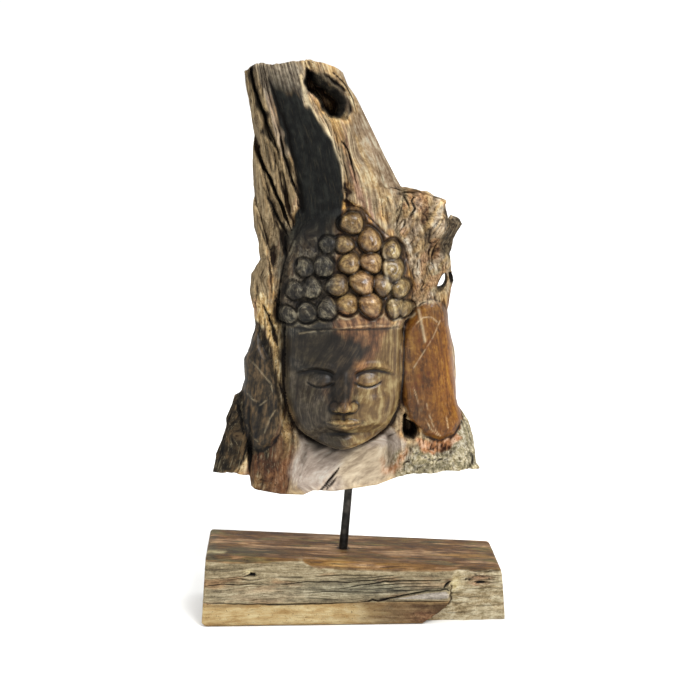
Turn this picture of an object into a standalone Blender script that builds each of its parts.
"""A head carved in relief in a slab of driftwood, held up by an iron rod in a block of reclaimed timber.

Metres, +Z up, -Y is the front. The origin is the middle of the block's underside.
"""

import math

import bmesh
import bpy
import numpy as np

# The timber block. Its top slopes down from the left end to the right.
BLOCK_LENGTH = 0.304
BLOCK_DEPTH = 0.108
BLOCK_LEFT_HEIGHT = 0.071
BLOCK_RIGHT_HEIGHT = 0.0545
BLOCK_EDGE = 0.004  # worn edges
BLOCK_END_FLARE = 0.005  # each end leans out towards the ground
BAND_HEIGHT = 0.024  # the lower band of the front, up to the long crack
BAND_STEP = 0.004  # the front above the crack leans back by this much
SPLIT_LENGTH = 0.0575  # the front's right end is split away, this far along at the crack
SPLIT_DEPTH = 0.012  # at the ground, behind the foot of the front
SPLIT_SLANT = 0.028  # how far the split runs in further along the ground
SPLIT_TOP = 0.046  # here the split's face meets the front again
CUT_PAST = 0.01  # how far a cutter reaches past what it cuts

# The iron rod, a little tapered
ROD_FOOT_DIAMETER = 0.0096
ROD_TIP_DIAMETER = 0.0078
ROD_BARE_LENGTH = 0.067  # seen between the block and the carving
ROD_LEAN = 0.006  # how far it leans to the right over the bare length
ROD_FOOT_X = -0.0095
ROD_IN_BLOCK = 0.034
ROD_IN_CARVING = 0.040
ROD_CLEARANCE = 0.0003
CARVING_SET_BACK = 0.0045  # the slab's middle behind the rod, so that the head stays over the block

# The carving, drawn at 428.5 mm and scaled by its height
CARVING_HEIGHT = 0.4285
DRAWN_HEIGHT = 428.5
MM = CARVING_HEIGHT / DRAWN_HEIGHT

# Rows and columns of the carving's surface before it is thinned out, and what is kept of it
CARVING_ROWS = 300
FRONT_COLUMNS = 154
BACK_COLUMNS = 22
END_RINGS = (0.97, 0.88, 0.6, 0.25)
CARVING_FACES = 8800

# Everything from here to the block is in millimetres of the drawn carving: x to the right of
# the block's middle, z above the carving's lowest point, and heights towards the viewer.
LEFT_EDGE = (
    (-141, 20), (-138, 38), (-131.5, 52), (-129, 64), (-127.5, 76), (-121, 89), (-119, 98),
    (-112, 103), (-108, 115), (-109, 136), (-102, 150), (-97, 167), (-97.5, 185), (-101, 206),
    (-100, 221), (-91, 236), (-91.5, 250), (-97, 272), (-96.5, 313), (-98, 333), (-97, 357),
    (-100, 381), (-102.5, 400), (-104.5, 418),
)
TOP_EDGE = (
    (-104.5, 418), (-97.5, 422.5), (-89, 426), (-79, 424), (-58, 427.5), (-44, 428.5), (-31, 427),
    (-18, 422.5), (-9.5, 417),
)
RIGHT_EDGE = (
    (129, 22), (125, 27), (124.5, 41), (122, 51), (118, 70), (112, 79), (106.5, 88), (104.5, 96),
    (104, 119), (102, 144), (96.5, 169), (96, 184), (98.5, 204), (102.5, 214), (98.5, 231),
    (97, 240), (100.5, 254), (108.5, 270), (104, 275.5), (95, 279), (91, 284.5), (93.5, 294),
    (80.5, 295.5), (73, 301.5), (51, 301.5), (44.5, 312.5), (32, 336), (18, 365), (4, 393),
    (-4.5, 405), (-9.5, 417),
)
BOTTOM_EDGE = (
    (-141, 20), (-122, 20.5), (-104, 18.5), (-102, 8), (-94, 5), (-73, 1), (-50, 0), (-40, 4.5),
    (-19, 3.5), (25, 9.5), (43, 16.5), (57, 20.5), (82, 20.5), (99, 24), (117, 24), (129, 22),
)
BODY_FRONT = 22.0  # depth in front of the outline, and behind it
BODY_BACK = 25.0

# The head: its chin, its hairline and the top of its hair, on a line that leans a little
CHIN_X, CHIN_Z = -11.0, 49.0
FACE_HEIGHT = 123.0
FACE_HALF_WIDTH = 58.0
HAIR_HALF_WIDTH = 65.0
HAIR_HEIGHT = 117.0
HEAD_LEAN = 0.025
HEAD_RISE = 22.0
CROWN_START = 8.0  # above the hairline, where the head begins to sink into the slab
CROWN_LENGTH = 100.0
MOAT_DEPTH = 6.0  # the cleared groove round the head
MOAT_WIDTH = 8.0

# The face keeps the usual canon: thirds from chin to nose, brow and hairline, five eyes across,
# the eyes near half the head and the mouth a third of the way from nose to chin.
EYE_WIDTH = 2 * FACE_HALF_WIDTH / 5
BROW_Z = FACE_HEIGHT * 2 / 3
NOSE_Z = FACE_HEIGHT / 3
EYE_Z = FACE_HEIGHT * 0.565
MOUTH_Z = NOSE_Z * 2 / 3
MOUTH_HALF_WIDTH = EYE_WIDTH * 0.78

# Rows of curls from the hairline up: first and last place in the row, height at the middle, and
# how much further the row droops on the right. A row bends round the head, so its curls stand
# closer together towards the sides.
CURL_ROWS = (
    (-3, 3, 195.0, 0.0), (-2.5, 2.5, 215.5, 0.0), (-2, 2, 236.0, 0.0026), (-1, 2, 255.0, 0.003),
    (0, 0, 272.5, 0.0),
)
CURL_BEND_RADIUS = 68.0
CURL_TURN = 18.5  # degrees from curl to curl
CURL_DROOP = 0.0026
CURL_RADIUS = 10.8
CURL_RISE = 8.0

# The dark heartwood band that runs up from the hair, between its two edges
BAND_LEFT = ((-66, 257), (-50, 284), (-53, 310), (-66, 344), (-75, 373), (-82, 401), (-86, 430))
BAND_RIGHT = ((-6, 240), (-7, 295), (-9, 325), (-19, 353), (-30, 378), (-44, 398), (-47, 430))
BAND_RISE = 6.0

RIGHT_EAR = (
    (58, 183), (67, 193), (78, 197), (89, 193), (96, 181), (99, 160), (103, 122), (109, 92), (110, 74),
    (102, 60), (87, 54), (72, 59), (59, 72), (50, 92), (46, 118), (46, 150), (50, 170),
)
LEFT_EAR = (
    (-95, 167), (-90, 152), (-82, 137), (-73, 113), (-65, 97), (-67, 72), (-78, 52), (-91, 45),
    (-103, 51), (-108, 68), (-109, 98), (-109, 132), (-102, 152),
)
EAR_RISE = 6.0
NECK = ((-74, -5), (-56, 66), (-30, 80), (25, 80), (50, 66), (52, -5))
NECK_DEPTH = 9.0

HOLLOW = (-26.0, 399.0, 28.0, 15.0, -54.0)  # the rotted branch end: x, z, half axes, tilt in degrees
HOLLOW_DEPTH = 34.0
CAVITY = (54.0, 73.0, 15.0, 8.0, 100.0)  # the dark pit between the jaw and the right ear
CAVITY_DEPTH = 26.0
KNOT_HOLE = (89.0, 213.0, 8.5, 3.8, 66.0)  # goes right through the slab
NOTCH = ((95.0, 271.5), (104.0, 290.0), (91.5, 290.0))  # the bite above the spur

# Weathered strips at the upper left: height against distance across the grain
GRAIN_SLOPE = 0.27
GRAIN_LEVEL = 340.0
STRIPS = (
    (-122, 0), (-110, 3), (-107, -3), (-101, 1), (-95, 3), (-92, -3), (-85, 2), (-80, 4),
    (-77, -3), (-72, 2), (-67, 3), (-64, -2), (-60, 0),
)

# Deep drying cracks: points down the crack, half width and depth
CRACKS = (
    (((-97, 421), (-93, 400), (-85, 377), (-75, 353), (-70, 335)), 2.0, 9.0),
    (((-97, 345), (-88, 324), (-76, 290), (-60, 264)), 1.8, 8.0),
    (((-74, 345), (-66, 324), (-57, 303)), 1.4, 6.0),
    (((-87, 307), (-76, 283), (-64, 261)), 1.4, 5.0),
    (((-88, 192), (-80, 172), (-75, 152)), 1.6, 5.0),
    (((0, 350), (6, 330), (10, 308)), 1.4, 4.0),
    (((-14, 26), (-26, 10), (-36, 2)), 1.6, 4.0),
)

# Knots, lumps and dents of the weathered wood: x, z, half widths and height
LUMPS = (
    (64, 284, 12, 8, 4.0), (38, 292, 10, 12, 3.5), (66, 250, 7, 16, 3.5), (84, 264, 9, 15, 6.0),
    (76, 240, 5, 10, -4.0), (92, 236, 6, 9, 3.0), (78, 214, 7, 12, 3.5), (20, 330, 8, 26, 4.0),
    (-6, 366, 6, 14, 3.0), (-94, 250, 8, 20, 4.0), (-126, 44, 10, 22, 4.0), (-116, 80, 8, 14, 3.5),
    (-84, 22, 16, 12, 4.0), (108, 36, 13, 10, 5.0), (70, 34, 16, 9, 5.0), (92, 46, 12, 6, -3.0),
    (-96, 205, 5, 14, 4.0),
)


def smooth(t):
    t = np.clip(t, 0.0, 1.0)
    return t * t * (3.0 - 2.0 * t)


def along(points, z):
    """The x of a line of points at each height z."""
    line = np.array(sorted((pz, px) for px, pz in points))
    return np.interp(z, line[:, 0], line[:, 1])


def hill(x, z, cx, cz, rx, rz):
    return np.exp(-(((x - cx) / rx) ** 2) - ((z - cz) / rz) ** 2)


def dome(x, z, cx, cz, rx, rz):
    return np.sqrt(np.clip(1.0 - ((x - cx) / rx) ** 2 - ((z - cz) / rz) ** 2, 0.0, 1.0))


def inside_ellipse(x, z, ellipse):
    """1 at the middle of a tilted ellipse and 0 on its rim."""
    cx, cz, long, short, tilt = ellipse
    c, s = math.cos(math.radians(tilt)), math.sin(math.radians(tilt))
    a = ((x - cx) * c + (z - cz) * s) / long
    b = (-(x - cx) * s + (z - cz) * c) / short
    return 1.0 - np.sqrt(a * a + b * b)


def line_distance(x, z, points):
    """How far each place is from a line of points."""
    best = np.full(np.shape(x), 1e9)
    for (ax, az), (bx, bz) in zip(points[:-1], points[1:]):
        dx, dz = bx - ax, bz - az
        t = np.clip(((x - ax) * dx + (z - az) * dz) / (dx * dx + dz * dz), 0.0, 1.0)
        best = np.minimum(best, np.hypot(x - ax - t * dx, z - az - t * dz))
    return best


def inside_distance(x, z, points):
    """How far each place is inside a closed outline, negative outside."""
    inside = np.zeros(np.shape(x), bool)
    ring = list(points) + [points[0]]
    for (ax, az), (bx, bz) in zip(ring[:-1], ring[1:]):
        if az == bz:
            continue
        crosses = (az > z) != (bz > z)
        inside ^= crosses & (x < ax + (z - az) * (bx - ax) / (bz - az))
    far = line_distance(x, z, ring)
    return np.where(inside, far, -far)


def resample(points, shares):
    """Points at these shares of the length of a line of points."""
    line = np.array(points, float)
    steps = np.concatenate([[0.0], np.cumsum(np.hypot(*np.diff(line, axis=0).T))])
    at = shares * steps[-1]
    return np.stack([np.interp(at, steps, line[:, 0]), np.interp(at, steps, line[:, 1])], axis=-1)


def slab_grid(across, up):
    """The outline filled with a grid that follows all four of its edges."""
    left, right = resample(LEFT_EDGE, up), resample(RIGHT_EDGE, up)
    bottom, top = resample(BOTTOM_EDGE, across), resample(TOP_EDGE, across)
    u, v = across[None, :, None], up[:, None, None]
    sides = (1 - u) * left[:, None] + u * right[:, None]
    ends = (1 - v) * bottom[None] + v * top[None]
    corners = (1 - v) * ((1 - u) * left[0] + u * right[0]) + v * ((1 - u) * left[-1] + u * right[-1])
    grid = sides + ends - corners
    return grid[..., 0], grid[..., 1]


def roundness(u, power):
    """0 at both sides of the slab, rising steeply to 1 inside."""
    return (1.0 - np.abs(2.0 * u - 1.0) ** power) ** (1.0 / power)


def bump(x, centre, width):
    return np.exp(-(((x - centre) / width) ** 2))


def brow_line(side):
    """The arch that the brow follows, away from the middle of the face."""
    return BROW_Z + 4.0 - 10.0 * ((side - 27.0) / 27.0) ** 2


def lash_line(eye):
    """The downcast edge of the lid, across the eye from its middle."""
    return EYE_Z - 4.5 + 4.0 * (eye / 13.0) ** 2


def face_relief(a, b):
    """Brow, closed eyes, nose, mouth and chin. a is sideways from the middle, b up from the chin."""
    side = np.abs(a)
    eye = side - EYE_WIDTH
    relief = 1.5 * hill(a, b, 0.0, 104.0, 34.0, 16.0)
    socket = smooth((brow_line(side) - b) / 6.0) * smooth((side - 5.0) / 9.0) * smooth((60.0 - side) / 26.0)
    relief -= 6.5 * socket * smooth((b - EYE_Z + 24.0) / 26.0)
    relief += 6.5 * dome(eye, b, 0.0, EYE_Z + 1.0, 14.5, 9.5) ** 1.3
    relief -= 1.6 * bump(b, lash_line(eye), 1.1) * smooth((13.0 - np.abs(eye)) / 3.0)
    brow = smooth((side - 6.0) / 8.0) * smooth((52.0 - side) / 14.0)
    relief += 1.2 * bump(b, brow_line(side) + 1.0, 2.0) * brow
    drop = np.clip((BROW_Z - b) / (BROW_Z - NOSE_Z - 3.0), 0.0, 1.0)
    under = smooth((b - NOSE_Z + 2.5) / 6.5)
    bridge = (1.0 + 12.5 * drop) * under * smooth((BROW_Z + 6.0 - b) / 12.0)
    relief += bridge * np.exp(-((side / (5.0 + 3.0 * drop)) ** 2.6))
    relief += 5.0 * dome(side, b, 8.6, NOSE_Z + 4.5, 5.6, 5.6)
    relief += 2.5 * hill(side, b, 27.0, 48.0, 15.0, 16.0)
    relief += 3.4 * hill(a, b, 0.0, MOUTH_Z, 19.0, 11.0)
    mouth = MOUTH_Z + 1.6 * (side / MOUTH_HALF_WIDTH) ** 2
    full = np.clip(1.0 - (side / MOUTH_HALF_WIDTH) ** 2, 0.0, 1.0)
    tall = np.maximum(full, 0.05) ** 0.6 * (1.0 - 0.18 * bump(side, 0.0, 2.5))
    relief += 3.0 * full**0.7 * dome(0.0, (b - mouth) / tall, 0.0, 2.6, 1.0, 3.4)
    relief += 3.4 * full**0.8 * dome(0.0, (b - mouth) / tall, 0.0, -3.4, 1.0, 4.2)
    relief -= 1.2 * bump(side, 0.0, 2.0) * bump(b, NOSE_Z - 5.0, 4.0)
    relief -= 2.2 * hill(a, b, 0.0, MOUTH_Z - 11.5, 12.0, 3.6)
    relief += 4.0 * hill(a, b, 0.0, 8.0, 13.0, 7.5)
    return relief


def head_axes(x, z):
    """Sideways from the head's middle line, up from the chin, and the head's half width there."""
    b = z - CHIN_Z
    a = x - CHIN_X - HEAD_LEAN * b
    jaw = np.clip(1.0 - np.clip((74.0 - b) / 74.0, 0.0, 1.0) ** 2.5, 0.0, 1.0) ** 0.44
    crown = np.clip(1.0 - np.clip((b - FACE_HEIGHT) / HAIR_HEIGHT, 0.0, 1.0) ** 3.0, 0.0, 1.0) ** 0.5
    swell = (HAIR_HALF_WIDTH - FACE_HALF_WIDTH) * smooth((b - FACE_HEIGHT) / 14.0)
    return a, b, (FACE_HALF_WIDTH * jaw + swell) * crown


def head_relief(x, z):
    """The head above the slab, with the groove round it but without its curls."""
    a, b, width = head_axes(x, z)
    side = np.clip(np.abs(a) / np.maximum(width, 0.5), 0.0, 1.0)
    side = np.where((b > 0.0) & (b < FACE_HEIGHT + HAIR_HEIGHT), side, 1.0)
    across = 1.0 - 0.45 * side**2 - 0.55 * side**9
    sink = 1.0 - smooth((b - FACE_HEIGHT - CROWN_START) / CROWN_LENGTH)
    rise = HEAD_RISE * across * sink
    rise += face_relief(a, b) * smooth(across / 0.45) * smooth((FACE_HEIGHT + 1.0 - b) / 4.0)
    rise += 3.0 * smooth((b - FACE_HEIGHT + 1.0) / 3.0) * smooth(across / 0.4) * sink
    beside = np.maximum(np.abs(a) - width, 0.0)
    moat = np.exp(-((beside / MOAT_WIDTH) ** 2)) * smooth(b / 12.0)
    moat = moat * sink * (1.0 - 0.7 * smooth((a - 30.0) / 20.0))
    return rise - MOAT_DEPTH * np.where(across > 0.0, 0.0, moat)


def curl_centres():
    for first, last, middle, more_droop in CURL_ROWS:
        for i in range(int(last - first) + 1):
            out = CURL_BEND_RADIUS * math.sin(math.radians(CURL_TURN * (first + i)))
            droop = CURL_DROOP + (more_droop if out > 0 else 0.0)
            b = middle - CHIN_Z + 0.03 * out - droop * out * out
            yield CHIN_X + 1.5 + HEAD_LEAN * b + out, CHIN_Z + b


def curls(x, z):
    rise = np.zeros(np.shape(x))
    for cx, cz in curl_centres():
        rise = np.maximum(rise, dome(x, z, cx, cz, CURL_RADIUS, CURL_RADIUS) ** 0.8)
    return CURL_RISE * rise


def slab_front(x, z, u):
    """How far the weathered slab stands towards the viewer, before the head."""
    thin = 1.0 - 0.35 * smooth((x - 52.0) / 30.0) * smooth((z - 195.0) / 20.0)
    height = BODY_FRONT * thin * roundness(u, 3.2)
    height -= 9.0 * smooth((-98.0 - x) / 6.0) * smooth((108.0 - z) / 10.0) * roundness(u, 3.2)
    left, right = along(BAND_LEFT, z), along(BAND_RIGHT, z)
    across = (2.0 * x - left - right) / (right - left)
    height += BAND_RISE * np.sqrt(np.clip(1.0 - across**2, 0.0, 1.0)) * smooth((z - 262.0) / 25.0)
    strips = np.interp(x + GRAIN_SLOPE * (z - GRAIN_LEVEL), *np.array(STRIPS, float).T)
    height += strips * smooth((-across - 0.9) / 0.15) * smooth((z - 225.0) / 20.0)
    for cx, cz, rx, rz, rise in LUMPS:
        height += rise * hill(x, z, cx, cz, rx, rz)
    for ear in (RIGHT_EAR, LEFT_EAR):
        height += EAR_RISE * np.sqrt(smooth(inside_distance(x, z, ear) / 8.0))
    height -= NECK_DEPTH * smooth(inside_distance(x, z, NECK) / 16.0) * smooth((z - 2.0) / 40.0)
    return height


def carved_front(x, z, u):
    """The whole front: slab, head, curls, cracks and pits."""
    edge = smooth(np.minimum(u, 1.0 - u) / 0.035)
    height = slab_front(x, z, u) + head_relief(x, z) * edge + curls(x, z)
    for points, half_width, depth in CRACKS:
        height -= depth * np.exp(-((line_distance(x, z, points) / half_width) ** 2)) * edge
    height -= HOLLOW_DEPTH * smooth(inside_ellipse(x, z, HOLLOW) / 0.4)
    height -= CAVITY_DEPTH * smooth(inside_ellipse(x, z, CAVITY) / 0.5)
    return height


def back_swell(x, z):
    """The back is the bare outside of the branch, a little uneven."""
    return 0.12 * np.sin(x / 31.0 + z / 95.0) + 0.08 * np.sin(z / 47.0 - x / 60.0) - 0.06


def carving_rings():
    """Closed rings of points from the underside to the top: the front, left to right, then the back."""
    steps = np.linspace(0.0, 1.0, FRONT_COLUMNS + 1)
    across = 0.6 * steps + 0.4 * (0.5 - 0.5 * np.cos(math.pi * steps))
    back = np.interp(np.linspace(1.0, 0.0, BACK_COLUMNS + 1)[1:-1], steps, across)
    up = np.linspace(0.0, 1.0, CARVING_ROWS + 1)
    fx, fz = slab_grid(across, up)
    bx, bz = slab_grid(back, up)
    fy = -carved_front(fx, fz, np.broadcast_to(across, fx.shape))
    by = BODY_BACK * roundness(back, 2.6) * (1.0 + back_swell(bx, bz))
    rings = np.concatenate([np.stack([fx, fy, fz], -1), np.stack([bx, by, bz], -1)], axis=1)
    ends = []
    for ring in (rings[0], rings[-1]):
        shrunk = []
        for share in END_RINGS:
            closer = ring.copy()
            closer[:, 1] *= share
            shrunk.append(closer)
        ends.append(shrunk)
    return np.array(ends[0][::-1] + list(rings) + ends[1])


def carving_mesh():
    """One closed mesh through the rings, closed at each end by faces from the front to the back."""
    rings = carving_rings()
    rows, around = rings.shape[:2]
    mesh = bpy.data.meshes.new("driftwood_carving")
    faces = []
    for r in range(rows - 1):
        for k in range(around):
            n = (k + 1) % around
            faces.append((r * around + k, r * around + n, (r + 1) * around + n, (r + 1) * around + k))
    per_back = FRONT_COLUMNS // BACK_COLUMNS
    for row, turned in ((0, False), (rows - 1, True)):
        for j in range(BACK_COLUMNS):
            front = list(range(j * per_back, (j + 1) * per_back + 1))
            behind = [around - j - 1, around - j] if j else [around - 1]
            if j == BACK_COLUMNS - 1:
                behind = [around - j]
            corner = [row * around + k for k in front + behind]
            faces.append(corner if turned else corner[::-1])
    mesh.from_pydata((rings.reshape(-1, 3) * MM).tolist(), [], faces)
    mesh.update()
    return mesh


def material(name, colour, roughness, metallic=0.0):
    made = bpy.data.materials.new(name)
    made.use_nodes = True
    shader = made.node_tree.nodes["Principled BSDF"]
    shader.inputs["Base Color"].default_value = (*colour, 1.0)
    shader.inputs["Roughness"].default_value = roughness
    shader.inputs["Metallic"].default_value = metallic
    return made


def add_object(name, mesh, finish=None):
    added = bpy.data.objects.new(name, mesh)
    bpy.context.scene.collection.objects.link(added)
    if finish:
        mesh.materials.append(finish)
    return added


def cut(target, cutter):
    cutter.hide_render = True
    cutter.display_type = "WIRE"
    boolean = target.modifiers.new("cut " + cutter.name, "BOOLEAN")
    boolean.operation = "DIFFERENCE"
    boolean.solver = "EXACT"
    boolean.object = cutter


def mesh_from(name, build):
    mesh = bpy.data.meshes.new(name)
    shape = bmesh.new()
    build(shape)
    bmesh.ops.recalc_face_normals(shape, faces=shape.faces)
    shape.to_mesh(mesh)
    shape.free()
    return mesh


def prism(name, outline, y_front, y_back, slope=0.0):
    """A cutter: an outline in the front plane, run back from y_front to y_back at z = 0.

    Its back leans towards the front by slope as it rises.
    """

    def build(shape):
        face = shape.faces.new([shape.verts.new((x, y_front, z)) for x, z in outline])
        run = bmesh.ops.extrude_face_region(shape, geom=[face])
        for vert in run["geom"]:
            if isinstance(vert, bmesh.types.BMVert):
                vert.co.y = y_back - slope * vert.co.z

    return add_object(name, mesh_from(name, build))


def block_top(x):
    """The height of the block's sloping top at x."""
    share = x / BLOCK_LENGTH + 0.5
    return BLOCK_LEFT_HEIGHT + (BLOCK_RIGHT_HEIGHT - BLOCK_LEFT_HEIGHT) * share


def rod_line():
    """The rod's lower end, foot, entry into the carving and tip."""
    foot = np.array((ROD_FOOT_X, 0.0, block_top(ROD_FOOT_X)))
    way = np.array((ROD_LEAN, 0.0, ROD_BARE_LENGTH))
    length = np.linalg.norm(way)
    way = way / length
    return foot - way * ROD_IN_BLOCK, foot, foot + way * length, foot + way * (length + ROD_IN_CARVING)


def rod_solid(name, extra=0.0):
    """The tapered rod, or its socket when extra is the clearance round it and at its ends."""
    low, _, _, high = rod_line()
    way = (high - low) / np.linalg.norm(high - low)
    low, high = low - way * extra, high + way * extra
    side = np.array((way[2], 0.0, -way[0]))
    front = np.array((0.0, 1.0, 0.0))

    def build(shape):
        rings = []
        for centre, diameter in ((low, ROD_FOOT_DIAMETER), (high, ROD_TIP_DIAMETER)):
            radius = diameter / 2 + extra
            turns = [2 * math.pi * k / 16 for k in range(16)]
            places = [centre + radius * (math.cos(t) * side + math.sin(t) * front) for t in turns]
            rings.append([shape.verts.new(place) for place in places])
            shape.faces.new(rings[-1])
        for k in range(16):
            n = (k + 1) % 16
            shape.faces.new((rings[0][k], rings[0][n], rings[1][n], rings[1][k]))

    return mesh_from(name, build)


def block_profile(x, shrink):
    """The block's section at x, as (y, z) from the front's foot round over the top to the back's foot."""
    half, top, edge = BLOCK_DEPTH / 2, block_top(x), BLOCK_EDGE
    corners = [
        (-half + edge * 0.5, 0.0),
        (-half, edge),
        (-half, BAND_HEIGHT),
        (-half + BAND_STEP * 0.6, BAND_HEIGHT + edge * 0.5),
        (-half + BAND_STEP, top - edge),
        (-half + BAND_STEP + edge, top),
        (half - edge, top),
        (half, top - edge),
        (half, edge),
        (half - edge * 0.5, 0.0),
    ]
    return [(y * (1 - shrink / half), max(z - (shrink if z > top / 2 else 0), 0.0)) for y, z in corners]


def timber_block(finish):
    half = BLOCK_LENGTH / 2
    stations = [(-half, BLOCK_EDGE * 0.6), (-half + BLOCK_EDGE, 0.0)]
    stations += [(half * share, 0.0) for share in (-0.6, -0.2, 0.2, 0.6)]
    stations += [(half - BLOCK_EDGE, 0.0), (half, BLOCK_EDGE * 0.6)]

    def build(shape):
        rows = []
        for x, shrink in stations:
            row = []
            for y, z in block_profile(x, shrink):
                flare = BLOCK_END_FLARE * z / block_top(x) if abs(x) > half - 2 * BLOCK_EDGE else 0.0
                row.append(shape.verts.new((x - math.copysign(flare, x), y, z)))
            rows.append(row)
        for low, high in zip(rows[:-1], rows[1:]):
            for k in range(len(low)):
                n = (k + 1) % len(low)
                shape.faces.new((low[k], low[n], high[n], high[k]))
        shape.faces.new(rows[0])
        shape.faces.new(rows[-1])

    block = add_object("timber_block", mesh_from("timber_block", build), finish)
    high, low, end = SPLIT_TOP + CUT_PAST, -CUT_PAST, half + CUT_PAST
    inner = half - SPLIT_LENGTH
    foot = inner - SPLIT_SLANT * (1 - low / BAND_HEIGHT)
    split = ((inner, high), (end, high), (end, low), (foot, low), (inner, BAND_HEIGHT))
    back = SPLIT_DEPTH - BLOCK_DEPTH / 2
    slope = (SPLIT_DEPTH - BAND_STEP) / SPLIT_TOP
    cut(block, prism("split_cutter", split, back - SPLIT_DEPTH - CUT_PAST, back, slope))
    cut(block, add_object("block_socket_cutter", rod_solid("block_socket_cutter", ROD_CLEARANCE)))
    return block


def driftwood_carving(finish):
    carving = add_object("driftwood_carving", carving_mesh(), finish)
    entry = rod_line()[2]
    underside = float(np.interp(entry[0] / MM, *np.array(BOTTOM_EDGE, float).T)) * MM
    carving.location = (0.0, CARVING_SET_BACK, entry[2] - underside)
    full = 2 * (FRONT_COLUMNS + BACK_COLUMNS) * (CARVING_ROWS + 2 * len(END_RINGS))
    thin = carving.modifiers.new("fewer faces", "DECIMATE")
    thin.ratio = CARVING_FACES / full
    depth = 2 * (BODY_FRONT + BODY_BACK)
    cx, cz, long, short, tilt = KNOT_HOLE
    c, s = math.cos(math.radians(tilt)), math.sin(math.radians(tilt))
    turns = [2 * math.pi * k / 10 for k in range(10)]
    hole = [(long * math.cos(t), short * math.sin(t)) for t in turns]
    hole = [(cx + p * c - q * s, cz + p * s + q * c) for p, q in hole]
    for name, outline in (("knot_hole_cutter", hole), ("notch_cutter", NOTCH)):
        placed = [(x * MM, z * MM) for x, z in outline]
        cutter = prism(name, placed, -depth * MM, depth * MM)
        cutter.location = carving.location
        cut(carving, cutter)
    cut(carving, add_object("carving_socket_cutter", rod_solid("carving_socket_cutter", ROD_CLEARANCE)))
    return carving


def main():
    for old in list(bpy.data.objects):
        bpy.data.objects.remove(old)
    weathered = material("weathered wood", (0.30, 0.20, 0.12), 0.75)
    iron = material("black iron", (0.03, 0.03, 0.03), 0.45, 0.9)
    reclaimed = material("reclaimed timber", (0.33, 0.21, 0.12), 0.7)
    timber_block(reclaimed)
    rod = add_object("iron_rod", rod_solid("iron_rod"), iron)
    rod.data.shade_smooth()
    rod.data.set_sharp_from_angle(angle=math.radians(40))
    driftwood_carving(weathered)


main()
